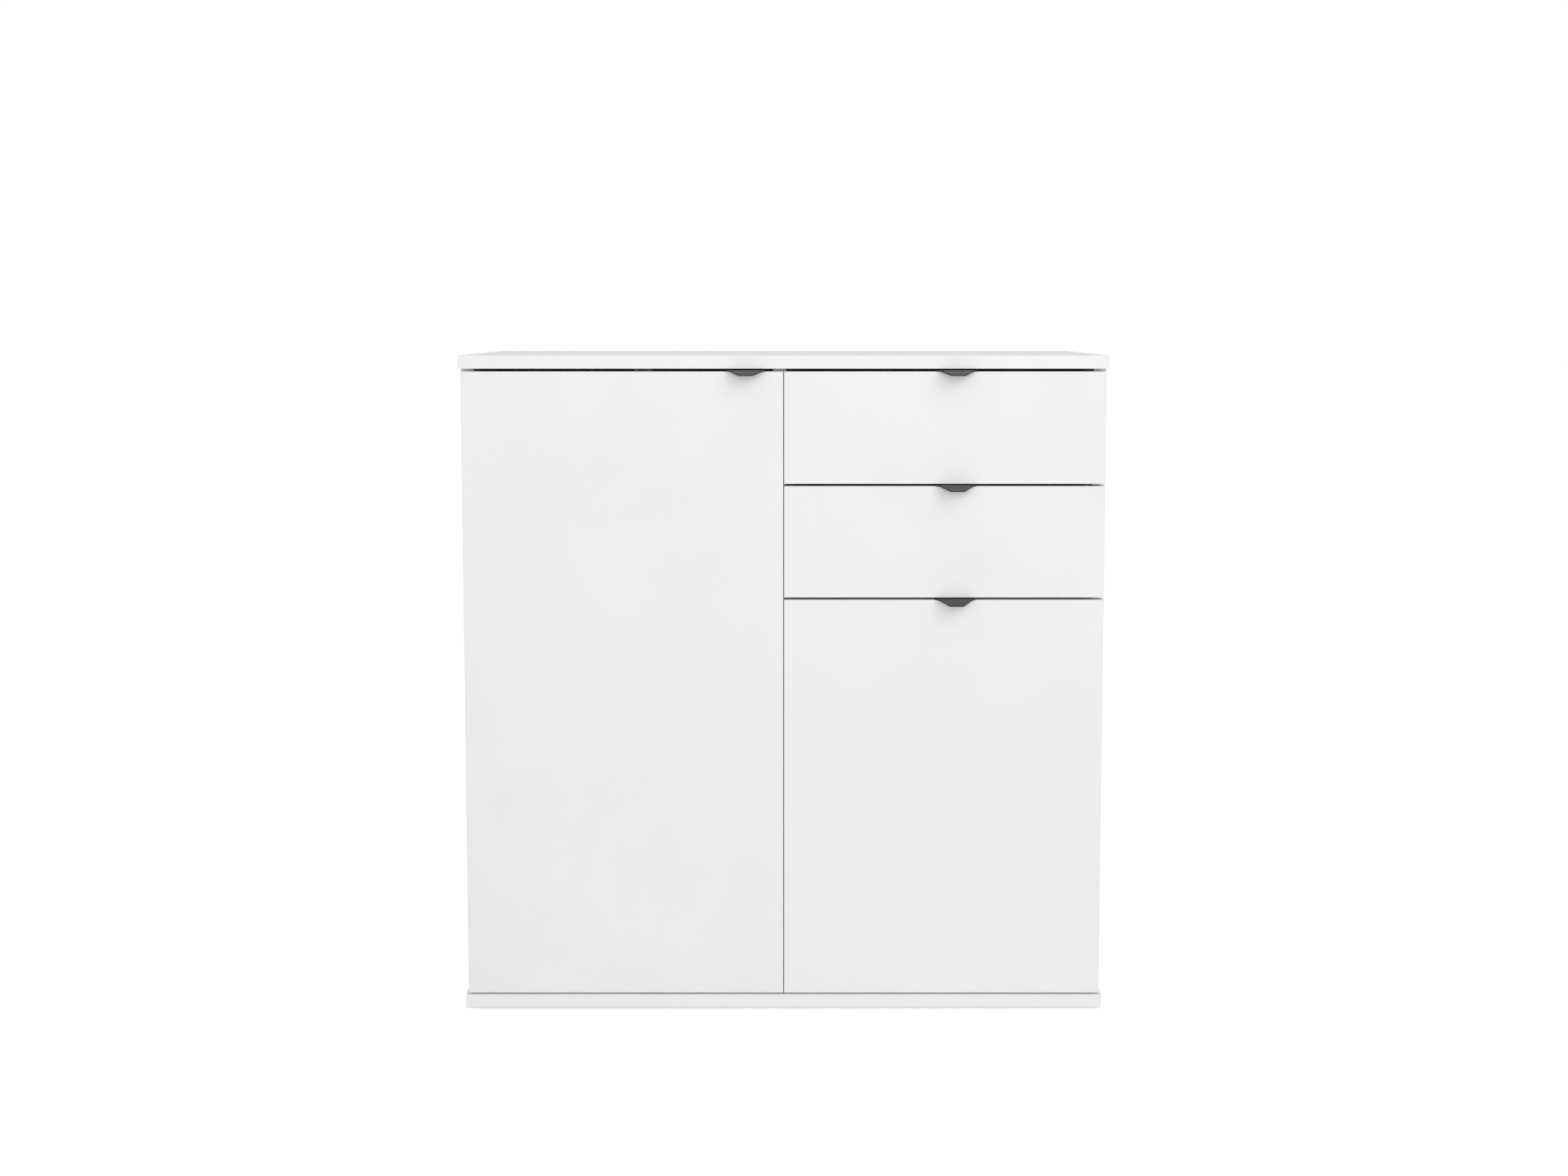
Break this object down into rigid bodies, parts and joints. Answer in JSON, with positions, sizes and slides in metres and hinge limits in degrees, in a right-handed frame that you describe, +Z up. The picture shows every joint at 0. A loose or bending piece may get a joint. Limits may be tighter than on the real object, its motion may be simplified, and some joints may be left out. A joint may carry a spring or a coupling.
{
  "type": "sideboard buffet",
  "caption": "White melamine sideboard with a tall hinged door beside stacked drawers over a smaller hinged door, all opened by small dark edge grips.",
  "frame": {"origin": "on the floor, under the middle of the whole outline", "axes": "+Z up, fronts face -Y, +X to the right seen from the front"},
  "size_m": [0.8, 0.371, 0.823],
  "materials": {
    "melamine": "white melamine-faced chipboard, fine satin texture",
    "box_board": "white foil on chipboard",
    "hardboard": "thin hardboard, white lacquered inside, raw brown outside",
    "grip": "black powder coat, satin",
    "nylon": "white nylon",
    "runner_steel": "white epoxy-coated steel",
    "zinc": "nickel or zinc plated steel",
    "cam_metal": "die-cast zinc",
    "dowel_wood": "fluted beech",
    "glide_plastic": "white plastic",
    "bumper": "soft clear plastic"
  },
  "bodies": {
    "carcass": {"top_panel": "melamine", "base_panel": "melamine", "left_side_panel": "melamine", "right_side_panel": "melamine", "centre_divider": "melamine", "drawer_shelf": "melamine", "left_lower_shelf": "melamine", "left_upper_shelf": "melamine", "right_shelf": "melamine", "shelf_pins": "zinc", "back_panel": "hardboard", "back_nails": "zinc", "cam_bolts": "zinc", "cam_locks": "cam_metal", "dowels": "dowel_wood", "floor_glides": "glide_plastic", "wall_bracket": "zinc", "left_hinge_plates": "zinc", "left_hinge_arms": "zinc", "right_hinge_plates": "zinc", "right_hinge_arms": "zinc", "hinge_pins": "zinc", "carcass_screws": "zinc", "door_bumpers": "bumper", "upper_cabinet_runner_left": "runner_steel", "upper_cabinet_runner_right": "runner_steel", "lower_cabinet_runner_left": "runner_steel", "lower_cabinet_runner_right": "runner_steel"},
    "left_door": {"left_door": "melamine", "left_door_grip": "grip", "left_hinge_cups": "zinc", "left_door_screws": "zinc"},
    "right_door": {"right_door": "melamine", "right_door_grip": "grip", "right_hinge_cups": "zinc", "right_door_screws": "zinc"},
    "upper_drawer": {"upper_drawer_front": "melamine", "upper_drawer_grip": "grip", "upper_drawer_left_side": "box_board", "upper_drawer_right_side": "box_board", "upper_drawer_rear": "box_board", "upper_drawer_bottom": "hardboard", "upper_drawer_fixings": "zinc", "upper_drawer_screws": "zinc", "upper_drawer_runner_left": "runner_steel", "upper_drawer_runner_right": "runner_steel"},
    "upper_cabinet_rollers": {"upper_cabinet_rollers": "nylon"},
    "upper_drawer_rollers": {"upper_drawer_rollers": "nylon"},
    "lower_drawer": {"lower_drawer_front": "melamine", "lower_drawer_grip": "grip", "lower_drawer_left_side": "box_board", "lower_drawer_right_side": "box_board", "lower_drawer_rear": "box_board", "lower_drawer_bottom": "hardboard", "lower_drawer_fixings": "zinc", "lower_drawer_screws": "zinc", "lower_drawer_runner_left": "runner_steel", "lower_drawer_runner_right": "runner_steel"},
    "lower_cabinet_rollers": {"lower_cabinet_rollers": "nylon"},
    "lower_drawer_rollers": {"lower_drawer_rollers": "nylon"}
  },
  "joints": [
    {"name": "left_door_swing", "type": "hinge", "parent": "carcass", "child": "left_door", "pos_m": [-0.3914, -0.1547, 0.413], "axis": [0, 0, -1], "range_deg": [0, 100]},
    {"name": "right_door_swing", "type": "hinge", "parent": "carcass", "child": "right_door", "pos_m": [0.3914, -0.1547, 0.2715], "axis": [0, 0, 1], "range_deg": [0, 100]},
    {"name": "upper_drawer_slide", "type": "slide", "parent": "carcass", "child": "upper_drawer", "axis": [0, -1, 0], "range_m": [0, 0.23]},
    {"name": "upper_cabinet_roller_spin", "type": "hinge", "parent": "carcass", "child": "upper_cabinet_rollers", "pos_m": [0.1935, -0.1295, 0.66775], "axis": [1, 0, 0], "range_deg": [0, 1650]},
    {"name": "upper_drawer_roller_spin", "type": "hinge", "parent": "upper_drawer", "child": "upper_drawer_rollers", "pos_m": [0.1935, 0.1415, 0.67685], "axis": [1, 0, 0], "range_deg": [0, 1650]},
    {"name": "lower_drawer_slide", "type": "slide", "parent": "carcass", "child": "lower_drawer", "axis": [0, -1, 0], "range_m": [0, 0.23]},
    {"name": "lower_cabinet_roller_spin", "type": "hinge", "parent": "carcass", "child": "lower_cabinet_rollers", "pos_m": [0.1935, -0.1295, 0.52625], "axis": [1, 0, 0], "range_deg": [0, 1650]},
    {"name": "lower_drawer_roller_spin", "type": "hinge", "parent": "lower_drawer", "child": "lower_drawer_rollers", "pos_m": [0.1935, 0.1415, 0.53535], "axis": [1, 0, 0], "range_deg": [0, 1650]}
  ],
  "couplings": [
    {"joint": "upper_cabinet_roller_spin", "follows": "upper_drawer_slide", "rad_per_m": 125},
    {"joint": "upper_drawer_roller_spin", "follows": "upper_drawer_slide", "rad_per_m": 125},
    {"joint": "lower_cabinet_roller_spin", "follows": "lower_drawer_slide", "rad_per_m": 125},
    {"joint": "lower_drawer_roller_spin", "follows": "lower_drawer_slide", "rad_per_m": 125}
  ]
}
